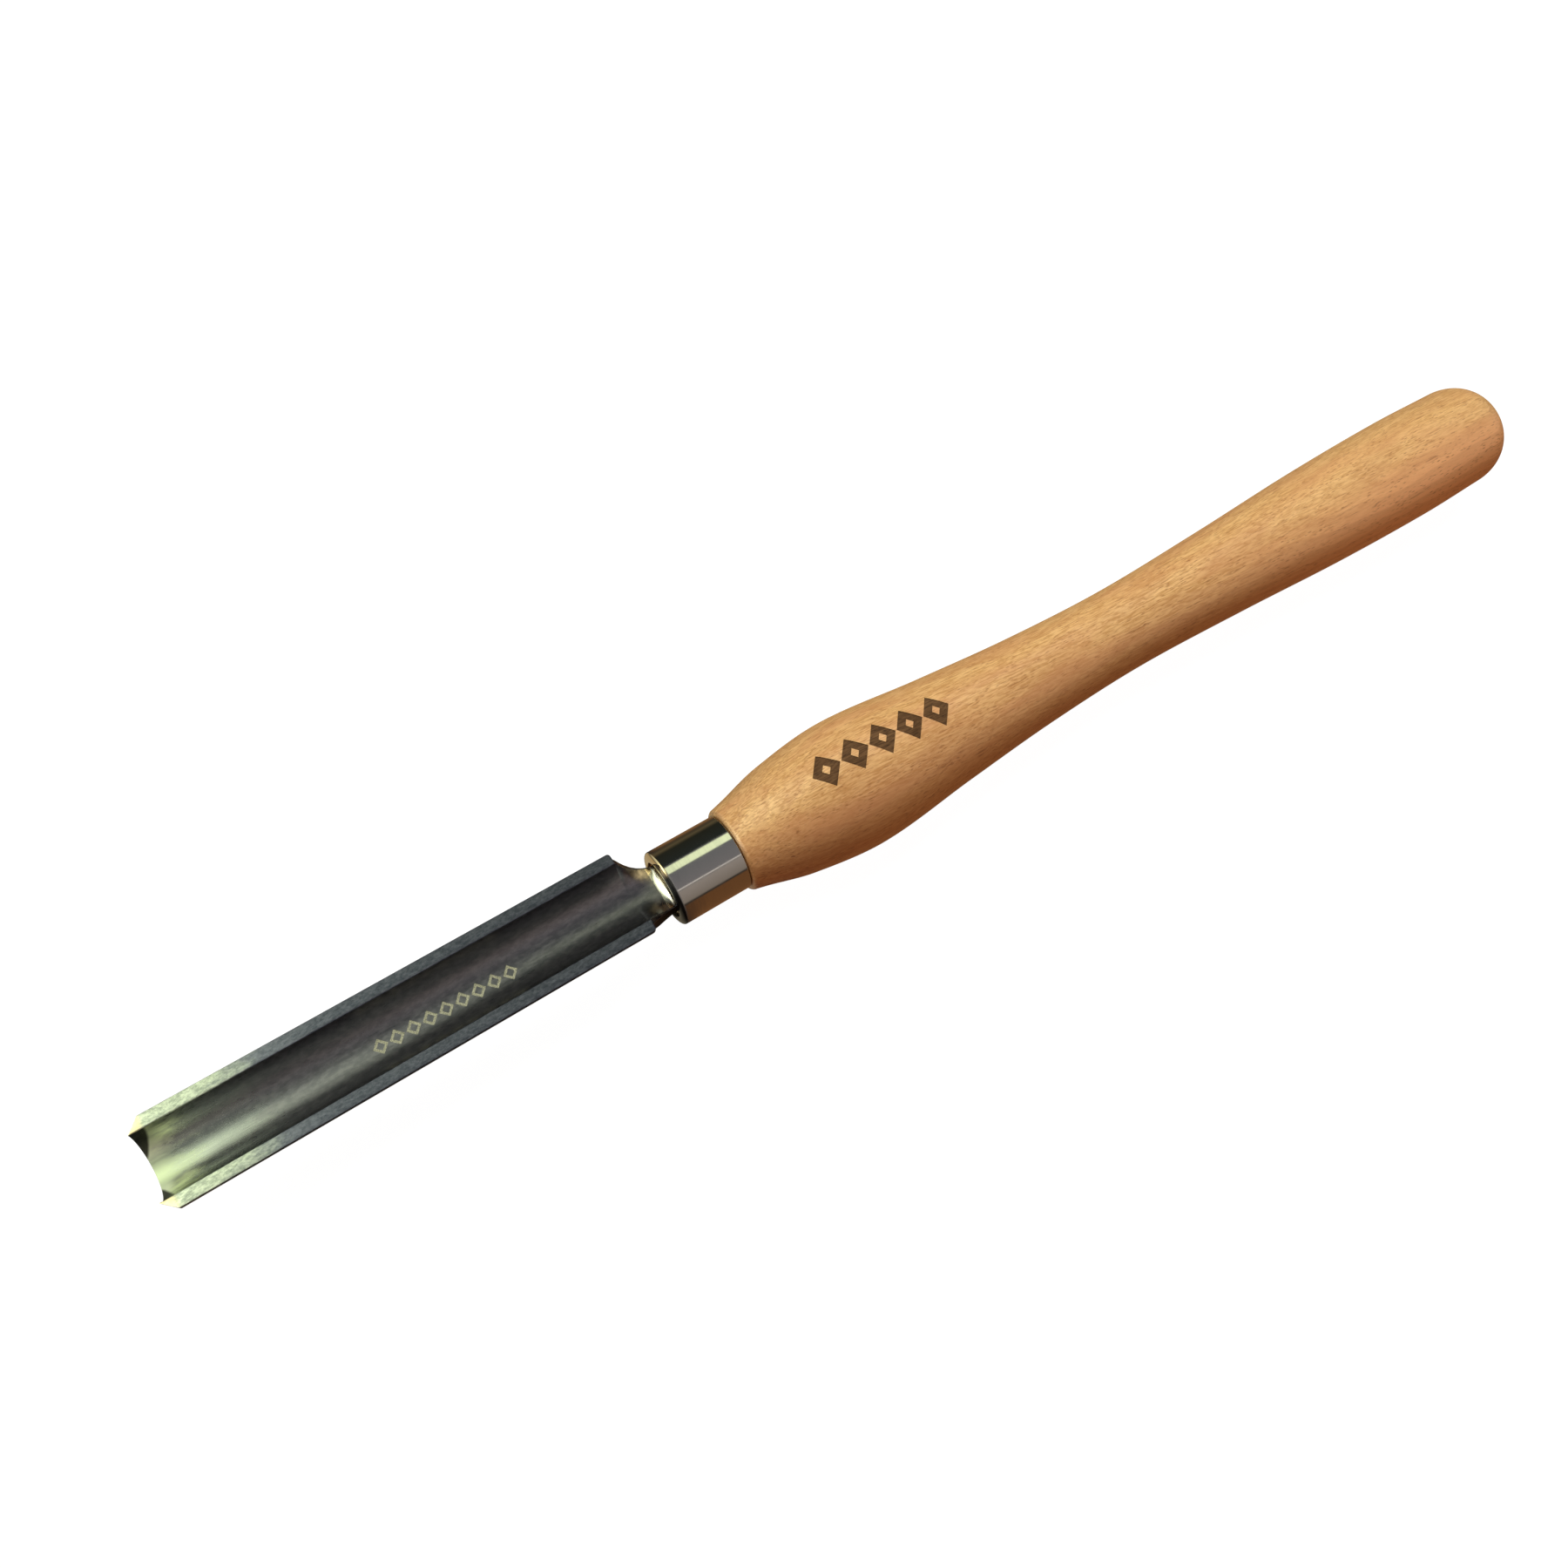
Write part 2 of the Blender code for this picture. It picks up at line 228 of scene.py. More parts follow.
def lozenge_rings(motif, place, materials, number):
    """Closed cutters for a row of lozenge grooves, laid on a surface by place(along, across, height)."""
    side_points = 10
    scales = [1 - (1 - motif["hole"]) * k / 4 for k in range(5)]
    outline = [(scale, -motif["depth"]) for scale in scales]
    outline += [(scale, 0.5 * MM) for scale in scales[::-1]]
    corners = [(1, 0), (0, 1), (-1, 0), (0, -1)]
    bm = bmesh.new()
    for n in range(motif["count"]):
        middle = motif["first"] + n * motif["pitch"]
        rings = []
        for (u0, v0), (u1, v1) in zip(corners, corners[1:] + corners[:1]):
            for k in range(side_points):
                u = (u0 + (u1 - u0) * k / side_points) * motif["width"] / 2
                v = (v0 + (v1 - v0) * k / side_points) * motif["height"] / 2
                rings.append([bm.verts.new(place(middle + u * s, v * s, h)) for s, h in outline])
        for near, far in zip(rings, rings[1:] + rings[:1]):
            for face in skin(bm, near, far):
                face.material_index = number
    return mesh_from(bm, "lozenges", materials)


# ---------------------------------------------------------------- blade

def arc_radius(half_width, depth):
    return (half_width ** 2 + depth ** 2) / (2 * depth)


def arc_section(half_width, top, bottom):
    """Circular arc from (+half_width, top) under (0, bottom) to (-half_width, top)."""
    radius = arc_radius(half_width, top - bottom)
    centre = bottom + radius
    reach = math.atan2(half_width, centre - top)
    angles = [reach * (1 - 2 * i / (ARC_POINTS - 1)) for i in range(ARC_POINTS)]
    return [(radius * math.sin(a), centre - radius * math.cos(a)) for a in angles]


def box_section(half_width, top, bottom, squareness=5.0):
    """Rounded rectangle, open at the top, over the same points as arc_section."""
    points = []
    for i in range(ARC_POINTS):
        a = math.pi * i / (ARC_POINTS - 1)
        across = math.copysign(abs(math.cos(a)) ** (2 / squareness), math.cos(a))
        down = math.sin(a) ** (2 / squareness)
        points.append((half_width * across, top - (top - bottom) * down))
    return points


def mixed(first, second, share):
    return [(a[0] + (b[0] - a[0]) * share, a[1] + (b[1] - a[1]) * share) for a, b in zip(first, second)]


def eased(t):
    t = min(max(t, 0.0), 1.0)
    return t * t * (3 - 2 * t)


FLUTE_R = arc_radius(BLADE_WIDTH / 2 - WALL, RIM_Z - FLUTE_FLOOR_Z)
FLUTE_AXIS_Z = FLUTE_FLOOR_Z + FLUTE_R


def flute_section(half_width, edge, middle):
    """Arc across the flute through its side edges and its middle, dished or, in the neck, domed."""
    if middle < edge:
        return arc_section(half_width, edge, middle)
    return [(y, -z) for y, z in arc_section(half_width, -edge, -middle)]


def u_paths(inset=0.0):
    """(outside, flute) of the U, each from the +Y rim to the -Y rim, thinned from outside by an inset."""
    half_width = BLADE_WIDTH / 2
    outside = arc_section(half_width - inset, RIM_Z, BLADE_BOTTOM_Z)
    return outside, arc_section(half_width - WALL, RIM_Z, FLUTE_FLOOR_Z)


def between(keys, place):
    """Values at a place in a table of rows that start with their place."""
    for before, after in zip(keys, keys[1:]):
        if place <= after[0]:
            share = (place - before[0]) / (after[0] - before[0])
            return [a + (b - a) * share for a, b in zip(before[1:], after[1:])]
    return list(keys[-1][1:])


def neck_paths(station):
    """(outside, flute) behind the shoulder, where the walls sink, draw in and the flute runs out."""
    behind = station - SHOULDER_AT
    half_width, edge, bottom = between(NECK_KEYS, behind)
    rim_at_shoulder = NECK_KEYS[0][1] - BLADE_WIDTH / 2 + WALL
    rim = NECK_EDGE + (rim_at_shoulder - NECK_EDGE) * (1 - eased(behind / NECK_DROP))
    run_out = min(max(station - (FERRULE_FACE_AT - RAMP_LENGTH), 0.0), RAMP_LENGTH)
    floor = FLUTE_FLOOR_Z + RAMP_RADIUS - math.sqrt(RAMP_RADIUS ** 2 - run_out ** 2)
    arc = arc_section(half_width, edge, bottom)
    outside = mixed(arc, box_section(half_width, edge, bottom), eased(behind / NECK_SQUARE_BY))
    return outside, flute_section(half_width - rim, edge, floor)


def rounded_end(path, rim_direction, rim_width):
    """The path's first corner rounded over towards the rim, as points from the rim to the wall."""
    corner, after = path[0], path[1]
    wall = after - corner
    size = min(RIM_EDGE_ROUND, 0.3 * rim_width, 0.8 * wall.length)
    on_rim = corner + Vector((0, rim_direction * size, 0))
    on_wall = corner + wall.normalized() * size
    points = []
    for k in range(ROUND_POINTS):
        t = k / (ROUND_POINTS - 1)
        points.append(on_rim * (1 - t) ** 2 + corner * 2 * t * (1 - t) + on_wall * t ** 2)
    return points


def blade_ring(outside, flute):
    """One closed ring: the outside from the +Y rim to the -Y rim, then back through the flute."""
    rim_width = outside[0].y - flute[0].y
    start = rounded_end(outside, -1, rim_width)
    end = rounded_end(outside[::-1], 1, rim_width)
    whole_outside = start + outside[1:-1] + end[::-1]
    start = rounded_end(flute, 1, rim_width)
    end = rounded_end(flute[::-1], -1, rim_width)
    whole_flute = start + flute[1:-1] + end[::-1]
    return whole_outside + whole_flute[::-1]


def straight_ring(station, paths):
    return blade_ring(*([Vector((station, y, z)) for y, z in path] for path in paths))


def bevel_ring(share):
    """Ring on the ground bevel, a 45-degree cone about the flute's axis: 0 at the edge, 1 at its end."""
    edge_r = FLUTE_R + EDGE_LAND
    paths = u_paths()
    outside = []
    for y, z in paths[0]:
        reach = math.hypot(y, z - FLUTE_AXIS_Z)
        station = share * (reach - edge_r)
        scale = (edge_r + station) / reach
        outside.append(Vector((station, y * scale, FLUTE_AXIS_Z + (z - FLUTE_AXIS_Z) * scale)))
    for corner in (outside[0], outside[-1]):
        half_width = math.sqrt((edge_r + corner.x) ** 2 - (FLUTE_AXIS_Z - RIM_Z) ** 2)
        corner.y = math.copysign(half_width, corner.y)
        corner.z = RIM_Z
    return blade_ring(outside, [Vector((outside[0].x, y, z)) for y, z in paths[1]])


def tang_ring(station, half_size):
    """Rounded rectangle with as many points as a blade ring."""
    half_width, half_height = half_size
    count = 2 * (ARC_POINTS + 2 * (ROUND_POINTS - 1))
    ring = []
    for i in range(count):
        a = 2 * math.pi * (i + 0.5) / count
        across = math.copysign(abs(math.cos(a)) ** 0.25, math.cos(a))
        down = math.copysign(abs(math.sin(a)) ** 0.25, math.sin(a))
        ring.append(Vector((station, half_width * across, -half_height * down)))
    return ring


def blade_rings():
    """Rings from the cutting edge to the end of the tang, and the row where the flute's ramp starts."""
    rings = [bevel_ring(k / BEVEL_ROWS) for k in range(BEVEL_ROWS + 1)]
    straight_end = SHOULDER_AT - RIM_CORNER_R
    for k in range(STRAIGHT_ROWS + 1):
        station = STRAIGHT_FROM + (straight_end - STRAIGHT_FROM) * k / STRAIGHT_ROWS
        rings.append(straight_ring(station, u_paths()))
    for k in range(1, CORNER_ROWS + 1):
        turn = math.radians(90) * k / CORNER_ROWS
        paths = u_paths(RIM_CORNER_R * (1 - math.cos(turn)))
        rings.append(straight_ring(straight_end + RIM_CORNER_R * math.sin(turn), paths))
    ramp_start = FERRULE_FACE_AT - RAMP_LENGTH
    neck_start = SHOULDER_AT + NECK_KEYS[0][0]
    for k in range(NECK_ROWS + 1):
        station = neck_start + (ramp_start - neck_start) * (k / NECK_ROWS) ** 1.3
        rings.append(straight_ring(station, neck_paths(station)))
    ramp_row = len(rings)
    for k in range(1, RAMP_ROWS + 1):
        station = ramp_start + RAMP_LENGTH * k / RAMP_ROWS
        rings.append(straight_ring(station, neck_paths(station)))
    rings.append(straight_ring(NECK_END_AT, neck_paths(NECK_END_AT)))
    rings.append(tang_ring(NECK_END_AT, TANG_FRONT))
    rings.append(tang_ring(TANG_END_AT, TANG_BACK))
    return rings, ramp_row


OUTSIDE, RIM, FLUTE, GROUND, ETCH = range(5)


def blade_face_kind(row, i, half, ramp_row):
    """Which surface of the blade the face at a row and a place round the ring belongs to.

    The rims take in the rounded corners on both of their sides.
    """
    corner = ROUND_POINTS - 1
    if i < corner or half - 1 - corner <= i < half + corner or i >= 2 * half - 1 - corner:
        return RIM
    if i < half:
        return GROUND if row < BEVEL_ROWS else OUTSIDE
    return GROUND if row >= ramp_row else FLUTE


def blade_mesh(materials):
    rings, ramp_row = blade_rings()
    bm = bmesh.new()
    rows = [[bm.verts.new(point) for point in ring] for ring in rings]
    half = len(rows[0]) // 2
    for row, (near, far) in enumerate(zip(rows, rows[1:])):
        for i, face in enumerate(skin(bm, near, far)):
            face.material_index = blade_face_kind(row, i, half, ramp_row)
    for ring in (rows[0], rows[-1]):
        for i in range(half - 1):
            bm.faces.new((ring[i], ring[i + 1], ring[-2 - i], ring[-1 - i]))
    return mesh_from(bm, "blade_forging", materials)


def on_flute(along, across, height):
    """Point over the flute's surface; across is measured round it from its centre line."""
    a = (ETCHED["centre"] + across) / FLUTE_R
    reach = FLUTE_R - height
    return Vector((along, reach * math.sin(a), FLUTE_AXIS_Z - reach * math.cos(a)))


def make_blade():
    materials = [outside_steel(), rim_steel(), flute_steel(), ground_steel(), etched_steel()]
    mesh = carved(blade_mesh(materials), lozenge_rings(ETCHED, on_flute, materials, ETCH))
    return new_piece("blade_forging", mesh, "gouge_blade")


# ---------------------------------------------------------------- ferrule and handle

def make_ferrule():
    back, face = FERRULE_BACK_AT, FERRULE_FACE_AT
    edge = 0.25 * MM
    bore_r = FERRULE_R - FERRULE_WALL
    hole_edge = 0.5 * MM
    profile = [(bore_r, back), (FERRULE_R - edge, back)]
    profile += bent(profile[-1], (FERRULE_R, back - edge), (FERRULE_R, back), 4)
    tight = 0.05 * MM
    profile += [(FERRULE_R, back - edge - tight), (FERRULE_R, face + FERRULE_NOSE + tight)]
    profile.append((FERRULE_R, face + FERRULE_NOSE))
    profile += bent(profile[-1], (FERRULE_HOLE_R + hole_edge, face), (FERRULE_R, face), 20)
    profile += bent(profile[-1], (FERRULE_HOLE_R, face + hole_edge), (FERRULE_HOLE_R, face), 6)
    profile.append((FERRULE_HOLE_R, face + FERRULE_LIP))
    profile.append((bore_r, face + FERRULE_LIP))
    mesh = turned("ferrule_shell", profile, FERRULE_STEPS, True, [plated_steel()])
    return new_piece("ferrule_shell", mesh, "ferrule")


def handle_side():
    keys = [(HANDLE_FRONT_AT + 1.4 * MM, 12.9 * MM), (170.5 * MM, 13.7 * MM), (184.5 * MM, 17.35 * MM),
            (207.5 * MM, BULGE_R), (241.0 * MM, 17.1 * MM), (274.0 * MM, 14.65 * MM),
            (311.0 * MM, WAIST_R), (354.0 * MM, 14.9 * MM), (398.0 * MM, 17.05 * MM),
            (438.0 * MM, TAIL_R), (LENGTH - TAIL_CORNER[0], 17.4 * MM)]
    return [(radius, station) for station, radius in smooth_curve(keys, HANDLE_SPACING)]


def handle_profile():
    """(radius, station) from the tail's centre round the outside to the bore's end."""
    side = handle_side()
    dome_start = LENGTH - TAIL_DOME
    corner_end = (side[-1][0] - TAIL_CORNER[1], dome_start)
    tail = bent(side[-1], corner_end, (side[-1][0], dome_start), 18)
    dome = [(corner_end[0] * (1 - k / 6), LENGTH - TAIL_DOME * (1 - k / 6) ** 2) for k in range(1, 6)]
    dome.append((0, LENGTH))
    front = (11.8 * MM, HANDLE_FRONT_AT)
    shoulder = bent(front, side[0], (side[0][0], HANDLE_FRONT_AT + 0.3 * MM), 6)
    chamfer = 0.4 * MM
    profile = dome[::-1] + tail[::-1] + side[::-1][1:-1] + shoulder[::-1] + [front]
    profile += [(SPIGOT_R, HANDLE_FRONT_AT), (SPIGOT_R, SPIGOT_AT + chamfer)]
    profile += [(SPIGOT_R - chamfer, SPIGOT_AT), (BORE_R, SPIGOT_AT), (BORE_R, BORE_END_AT)]
    return profile + [(0, BORE_END_AT + DRILL_POINT)]


def on_handle(along, across, height):
    """Point over the handle's surface; across is measured round it from the motif's centre line."""
    side = handle_side()
    for (r0, s0), (r1, s1) in zip(side, side[1:]):
        if s0 <= along <= s1:
            radius = r0 + (r1 - r0) * (along - s0) / (s1 - s0)
    a = math.radians(BURNT["centre"]) + across / radius
    reach = radius + height
    return Vector((along, reach * math.sin(a), reach * math.cos(a)))


def make_handle():
    materials = [beech(), burnt_beech()]
    blank = turned("handle_turned", handle_profile(), HANDLE_STEPS, False, materials)
    mesh = carved(blank, lozenge_rings(BURNT, on_handle, materials, 1))
    return new_piece("handle_turned", mesh, "handle")


# ---------------------------------------------------------------- materials

def srgb(red, green, blue):
    """Linear colour from 0 to 255 display values."""
    values = [((v / 255 + 0.055) / 1.055) ** 2.4 if v > 10 else v / 3294.6 for v in (red, green, blue)]
    return (*values, 1)


class Surface:
    """A procedural Principled material, built with short calls."""

    def __init__(self, name, **sockets):
        self.material = bpy.data.materials.new(name)
        self.material.use_nodes = True
        self.tree = self.material.node_tree
        self.shader = self.tree.nodes["Principled BSDF"]
        self.put(self.shader, **sockets)

    def put(self, made, **sockets):
        for name, value in sockets.items():
            self.put_one(made.inputs[name.replace("_", " ")], value)

    def put_one(self, socket, value):
        if isinstance(value, bpy.types.NodeSocket):
            self.tree.links.new(value, socket)
        else:
            socket.default_value = value

    def node(self, kind, **sockets):
        made = self.tree.nodes.new("ShaderNode" + kind)
        self.put(made, **sockets)
        return made

    def math(self, operation, first, second=0.0):
        made = self.tree.nodes.new("ShaderNodeMath")
        made.operation = operation
        self.put_one(made.inputs[0], first)
        self.put_one(made.inputs[1], second)
        return made.outputs[0]

    def vector(self, operation, first, second):
        made = self.tree.nodes.new("ShaderNodeVectorMath")
        made.operation = operation
        self.put_one(made.inputs[0], first)
        self.put_one(made.inputs[1], second)
        return made.outputs["Value" if operation == "LENGTH" else "Vector"]

    def place(self, sizes, turn=(0, 0, 0)):
        """The piece's own coordinates, with a cell's sizes in mm made one unit."""
        whole = self.node("TexCoord").outputs["Object"]
        turned_by = self.node("Mapping", Vector=whole, Rotation=[math.radians(a) for a in turn])
        scale = [1 / (size * MM) for size in sizes]
        return self.node("Mapping", Vector=turned_by.outputs[0], Scale=scale).outputs[0]

    def noise(self, vector, detail=2.0, roughness=0.5):
        made = self.node("TexNoise", Vector=vector, Scale=1.0, Detail=detail, Roughness=roughness)
        return made.outputs[0]

    def ramp(self, value, low, high, to_low=0.0, to_high=1.0):
        made = self.node("MapRange", Value=value, From_Min=low, From_Max=high, To_Min=to_low, To_Max=to_high)
        made.interpolation_type = "SMOOTHSTEP"
        return made.outputs[0]

    def blend(self, share, first, second):
        made = self.tree.nodes.new("ShaderNodeMix")
        made.data_type = "RGBA"
        self.put_one(made.inputs[0], share)
        self.put_one(made.inputs[6], first)
        self.put_one(made.inputs[7], second)
        return made.outputs[2]

    def bump(self, height, distance, strength=1.0):
        made = self.node("Bump", Height=height, Distance=distance, Strength=strength)
        self.put(self.shader, Normal=made.outputs[0])

    def own_axis(self, number):
        return self.node("SeparateXYZ", Vector=self.place((1, 1, 1))).outputs[number]

    def station(self):
        """Distance behind the cutting edge in mm."""
        return self.own_axis(0)

    def across(self):
        """Distance from the tool's axis towards +Y in mm."""
        return self.own_axis(1)


GRAIN_SLANT = (-24, 0, 2.5)        # degrees: how the log's layers lie against the handle
RING_PITCH = 3.1                   # mm between growth rings
PITH = (0, 18.0, 74.0)             # mm from the handle's axis to the log's centre
PAINTED_TAIL_LIGHT_SPAN = (300.0, 440.0)             # mm: stations between which painted light makes the wood paler towards the tail and the painted shade on its -Y side turns paler and pinker


def beech_figure(s):
    """Rings, fibres, ray flecks and longer dark pores of beech, each from 0 to 1."""
    warp = s.noise(s.place((55, 16, 16), GRAIN_SLANT), detail=2.0)
    ring_space = s.vector("ADD", s.place((1, 1, 1), GRAIN_SLANT), PITH)
    radial = s.vector("LENGTH", s.vector("MULTIPLY", ring_space, (0, 1, 1)), (0, 0, 0))
    radial = s.math("ADD", radial, s.math("MULTIPLY", warp, 9.0))
    phase = s.math("FRACT", s.math("DIVIDE", radial, RING_PITCH))
    rings = s.math("MULTIPLY", s.ramp(phase, 0.1, 0.85), s.ramp(phase, 1.0, 0.88))
    waves = s.noise(s.place((5, 1.6, 1.6), GRAIN_SLANT), detail=1.0)
    sideways = s.node("CombineXYZ", Y=waves, Z=waves).outputs[0]
    wavy = s.vector("ADD", s.place((1, 1, 1), GRAIN_SLANT), sideways)
    fibres = s.noise(s.vector("MULTIPLY", wavy, (0.17, 2.1, 2.1)), detail=4.0, roughness=0.62)
    cells = s.node("TexVoronoi", Vector=s.vector("MULTIPLY", wavy, (0.33, 1.8, 1.8)), Scale=1.0)
    flecks = s.ramp(cells.outputs["Distance"], 0.4, 0.08)
    patchy = s.ramp(s.noise(s.place((9, 3, 3), GRAIN_SLANT), detail=2.0), 0.38, 0.62, 0.15, 1.0)
    streak = s.noise(s.vector("MULTIPLY", wavy, (0.06, 1.5, 1.5)), detail=2.0)
    pores = s.math("MULTIPLY", s.ramp(streak, 0.6, 0.7), s.ramp(fibres, 0.4, 0.6))
    return rings, fibres, s.math("MULTIPLY", flecks, patchy), pores


def beech():
    """Oiled beech, with painted shade on its -Y side, darker and redder towards the front, and painted light
    that makes the wood paler and pinker towards the tail.
    """
    s = Surface("oiled_beech", Roughness=0.42, Coat_Weight=0.5, Coat_Roughness=0.24, Specular_IOR_Level=0.5)
    rings, fibres, flecks, pores = beech_figure(s)
    clouds = s.noise(s.place((42, 8, 8), GRAIN_SLANT), detail=2.0)
    # painted light: the wood is made paler towards the tail
    tail = s.ramp(s.station(), *PAINTED_TAIL_LIGHT_SPAN)
    tone = s.blend(s.ramp(fibres, 0.34, 0.66), srgb(226, 184, 124), srgb(187, 140, 82))
    tone = s.blend(s.ramp(clouds, 0.42, 0.72, 0.0, 0.5), tone, srgb(203, 147, 99))
    tone = s.blend(s.math("MULTIPLY", tail, 0.2), tone, srgb(232, 186, 126))
    # painted shade and light on the -Y side: darker and redder at the front, paler and pinker at the tail
    painted_lower_side_tone = s.blend(tail, srgb(192, 126, 80), srgb(246, 178, 122))
    painted_lower_side_share = s.ramp(s.station(), *PAINTED_TAIL_LIGHT_SPAN, 0.5, 0.85)
    tone = s.blend(s.ramp(s.across(), 0.0, -15.0, 0.0, painted_lower_side_share), tone, painted_lower_side_tone)
    tone = s.blend(s.math("MULTIPLY", rings, 0.2), tone, srgb(170, 112, 68))
    tone = s.blend(s.math("MULTIPLY", flecks, 0.8), tone, srgb(150, 98, 54))
    tone = s.blend(s.math("MULTIPLY", pores, 0.55), tone, srgb(128, 80, 44))
    s.put(s.shader, Base_Color=tone)
    s.put(s.shader, Roughness=s.ramp(fibres, 0.2, 0.8, 0.34, 0.5))
    height = s.math("SUBTRACT", s.math("MULTIPLY", fibres, 0.6), s.math("ADD", flecks, pores))
    s.bump(height, 0.03 * MM, 0.5)
    return s.material


def burnt_beech():
    s = Surface("burnt_beech", Roughness=0.8, Specular_IOR_Level=0.2)
    rings, fibres, flecks, pores = beech_figure(s)
    tone = s.blend(s.ramp(fibres, 0.25, 0.75), srgb(112, 84, 56), srgb(66, 47, 31))
    tone = s.blend(s.math("MULTIPLY", flecks, 0.8), tone, srgb(38, 27, 20))
    tone = s.blend(s.math("MULTIPLY", rings, 0.3), tone, srgb(60, 38, 22))
    s.put(s.shader, Base_Color=tone)
    s.bump(s.math("SUBTRACT", fibres, s.math("ADD", flecks, pores)), 0.12 * MM, 0.8)
    return s.material


def scale_marks(s):
    """Mottled mill scale and fine lengthwise drawing lines, each from 0 to 1."""
    mottle = s.noise(s.place((2.2, 1.1, 1.1)), detail=5.0, roughness=0.65)
    drawn = s.noise(s.place((40, 0.35, 0.35)), detail=2.0)
    return mottle, drawn


def toward_tip(s, clean_until, worn_by, lopsided=0.0):
    """1 near the cutting edge, fading unevenly to 0, sooner by so many mm on the -Y side."""
    uneven = s.math("MULTIPLY", s.noise(s.place((9, 2.5, 2.5)), detail=4.0, roughness=0.6), 26.0)
    place = s.math("ADD", s.station(), s.ramp(s.across(), 4.0, -4.0, 0.0, lopsided))
    return s.ramp(s.math("ADD", place, uneven), worn_by, clean_until)


def flute_steel():
    """Dark scale, worn towards the tip, where a bright yellow-green sheen of the light is painted into its
    colour, and a painted dark reflection where the edge meets the walls.
    """
    s = Surface("flute_steel", Metallic=1.0)
    mottle, drawn = scale_marks(s)
    dark = s.blend(s.ramp(mottle, 0.35, 0.7), (0.185, 0.181, 0.202, 1), (0.25, 0.243, 0.265, 1))
    worn = s.blend(mottle, (0.31, 0.325, 0.32, 1), (0.44, 0.46, 0.43, 1))
    walls = s.math("ABSOLUTE", s.across())
    tip = s.math("MULTIPLY", toward_tip(s, 22, 52), s.ramp(walls, 8.5, 4.0, 0.35, 1.0))
    # painted sheen: the yellow-green reflection of the light, brighter on the walls, put into the colour
    # near the tip
    bare_and_painted_sheen = s.blend(s.ramp(walls, 2.5, 5.5), (0.52, 0.57, 0.42, 1), (0.95, 1.0, 0.74, 1))
    surface = s.blend(tip, dark, worn)
    ground_back_and_painted_sheen = toward_tip(s, 13, 25)
    surface = s.blend(ground_back_and_painted_sheen, surface, bare_and_painted_sheen)
    # painted dark reflection: near black at the tip where the flute meets the walls
    wedge = s.math("SUBTRACT", s.station(), s.math("MULTIPLY", walls, 0.72))
    painted_dark_tip_reflection = s.math("MULTIPLY", s.ramp(walls, 3.6, 5.0), s.ramp(wedge, -2.4, -3.3))
    s.put(s.shader, Base_Color=s.blend(s.math("MULTIPLY", painted_dark_tip_reflection, 0.92), surface, (0.02, 0.018, 0.016, 1)))
    matt = s.ramp(s.math("ADD", mottle, drawn), 0.6, 1.4, 0.27, 0.37)
    matt = s.math("ADD", matt, s.math("MULTIPLY", ground_back_and_painted_sheen, 0.13))
    s.put(s.shader, Roughness=s.math("SUBTRACT", matt, s.math("MULTIPLY", tip, 0.09)))
    s.bump(s.math("ADD", s.math("MULTIPLY", mottle, 0.7), drawn), 0.02 * MM, 0.25)
    return s.material


def rim_steel():
    """Scale on the walls' flat tops: worn grey towards the tip and then bright with a painted yellow-green
    sheen, straw at the edge.
    """
    s = Surface("rim_steel", Metallic=1.0)
    mottle, drawn = scale_marks(s)
    fine = s.noise(s.place((1.3, 0.7, 0.7)), detail=5.0, roughness=0.7)
    dark = s.blend(s.ramp(fine, 0.3, 0.72), (0.068, 0.074, 0.1, 1), (0.15, 0.156, 0.205, 1))
    grey = s.blend(s.ramp(fine, 0.3, 0.72), (0.13, 0.138, 0.18, 1), (0.23, 0.24, 0.3, 1))
    # painted sheen: the bright yellow-green reflection of the light near the tip
    bright = s.blend(s.ramp(fine, 0.35, 0.65), (0.32, 0.35, 0.31, 1), (0.62, 0.66, 0.57, 1))
    surface = s.blend(toward_tip(s, 38, 72, lopsided=10.0), dark, grey)
    surface = s.blend(toward_tip(s, 32, 48, lopsided=4.0), surface, bright)
    straw = s.ramp(s.station(), 4.5, 2.0, 0.0, 0.7)
    s.put(s.shader, Base_Color=s.blend(straw, surface, (0.9, 0.72, 0.42, 1)))
    s.put(s.shader, Roughness=s.ramp(mottle, 0.3, 0.7, 0.32, 0.46))
    s.bump(s.math("ADD", fine, s.math("MULTIPLY", drawn, 0.3)), 0.05 * MM, 0.7)
    return s.material


def outside_steel():
    """Forging scale, so dark that only its sheen shows, with the sheen turned down behind the shoulder as
    painted shade.
    """
    s = Surface("outside_steel", Metallic=0.0)
    shoulder = SHOULDER_AT / MM
    mottle, drawn = scale_marks(s)
    dark = s.blend(s.ramp(mottle, 0.35, 0.7), (0.012, 0.012, 0.013, 1), (0.03, 0.03, 0.031, 1))
    s.put(s.shader, Base_Color=s.blend(toward_tip(s, 16, 34), dark, (0.12, 0.125, 0.1, 1)))
    s.put(s.shader, Roughness=s.ramp(mottle, 0.3, 0.7, 0.5, 0.65))
    # painted shade: the sheen is turned down behind the shoulder, where the neck lies in shadow
    s.put(s.shader, Specular_IOR_Level=s.ramp(s.station(), shoulder - 1.4, shoulder + 0.1, 0.14, 0.02))
    s.bump(s.math("ADD", mottle, drawn), 0.03 * MM, 0.5)
    return s.material


